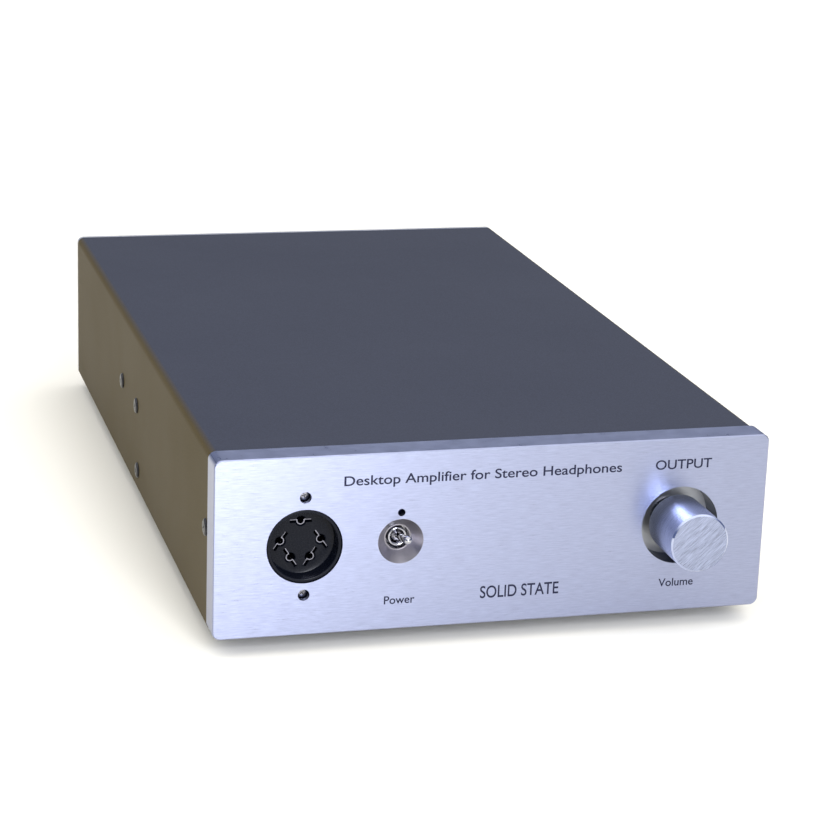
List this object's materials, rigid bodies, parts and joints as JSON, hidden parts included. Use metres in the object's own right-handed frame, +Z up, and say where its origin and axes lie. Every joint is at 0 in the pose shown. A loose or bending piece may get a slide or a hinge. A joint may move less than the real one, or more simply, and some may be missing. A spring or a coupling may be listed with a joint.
{
  "type": "headphone amplifier",
  "caption": "Low box-shaped headphone amplifier with a thick brushed panel, round multi-pin socket, power lever with indicator, and a recessed volume knob.",
  "frame": {"origin": "on the surface that the feet stand on, under the middle of the whole outline", "axes": "+X to the right seen from the front, +Y towards the back, +Z up; the controls face -Y"},
  "size_m": [0.1808, 0.336, 0.064],
  "materials": {
    "panel_aluminium": "fine horizontal brushed grain, clear anodised",
    "cover_paint": "satin slate-black fine-textured paint",
    "chassis_steel": "zinc-plated sheet",
    "rear_aluminium": "satin anodised sheet",
    "black_screw": "black oxide",
    "steel_screw": "bright zinc",
    "foot_rubber": "matte black rubber",
    "knob_aluminium": "turned side, brushed face, clear anodised",
    "shaft_steel": "turned",
    "switch_chrome": "bright plated",
    "brass_plated": "gold-coloured plating",
    "switch_block": "moulded thermoset",
    "led_lens": "dark tinted lens",
    "socket_black": "glossy moulded black",
    "contact_silver": "silver-plated spring leaf",
    "inlet_black": "moulded black",
    "insert_red": "moulded red",
    "insert_white": "moulded white",
    "core_winding": "polyester tape over copper",
    "pad_rubber": "soft rubber sheet",
    "board_green": "solder mask",
    "can_sleeve": "printed-free shrink sleeve",
    "film_block": "dipped epoxy",
    "relay_case": "moulded cover",
    "sink_black": "black anodised",
    "package_black": "moulded epoxy",
    "lead_grey": "soft vinyl jacket"
  },
  "bodies": {
    "root": {"front_panel": "panel_aluminium", "chassis": "chassis_steel", "cover": "cover_paint", "rear_panel": "rear_aluminium", "panel_screws": "steel_screw", "cover_screws": "black_screw", "rear_panel_screws": "black_screw", "foot_screws": "steel_screw", "pot_bushing": "shaft_steel", "pot_body": "switch_block", "pot_washer": "steel_screw", "pot_nut": "steel_screw", "pot_pins": "contact_silver", "toggle_bushing": "switch_chrome", "toggle_nut": "switch_chrome", "toggle_body": "switch_block", "toggle_terminals": "contact_silver", "power_led": "led_lens", "led_leads": "contact_silver", "socket_body": "socket_black", "socket_contacts": "contact_silver", "socket_tails": "contact_silver", "socket_screws": "steel_screw", "socket_nuts": "steel_screw", "inlet_body": "inlet_black", "inlet_pins": "brass_plated", "inlet_screws": "black_screw", "inlet_nuts": "steel_screw", "phono_shells": "brass_plated", "phono_inserts_right": "insert_red", "phono_inserts_left": "insert_white", "phono_contacts": "brass_plated", "phono_nuts": "brass_plated", "ground_post": "brass_plated", "ground_nut": "brass_plated", "transformer_winding": "core_winding", "transformer_pads": "pad_rubber", "transformer_plate": "chassis_steel", "transformer_bolt": "steel_screw", "transformer_nut": "steel_screw", "main_board": "board_green", "board_standoffs": "steel_screw", "board_screws": "steel_screw", "standoff_screws": "black_screw", "reservoir_capacitors": "can_sleeve", "film_capacitors": "film_block", "rectifier_bridge": "package_black", "output_relays": "relay_case", "heatsink_left": "sink_black", "heatsink_right": "sink_black", "heatsink_screws": "black_screw", "output_transistors": "package_black", "transistor_screws": "steel_screw", "mains_cable": "lead_grey", "input_cable": "lead_grey", "feet": "foot_rubber"},
    "volume": {"volume_knob": "knob_aluminium", "knob_set_screw": "black_screw", "pot_shaft": "shaft_steel"},
    "power_lever": {"toggle_lever": "switch_chrome"}
  },
  "joints": [
    {"name": "volume_turn", "type": "hinge", "parent": "root", "child": "volume", "pos_m": [0.0612, -0.15, 0.035], "axis": [0, 1, 0], "range_deg": [0, 300]},
    {"name": "power_lever_tilt", "type": "hinge", "parent": "root", "child": "power_lever", "pos_m": [-0.031, -0.1438, 0.035], "axis": [1, 0, 0], "range_deg": [0, 25]}
  ]
}
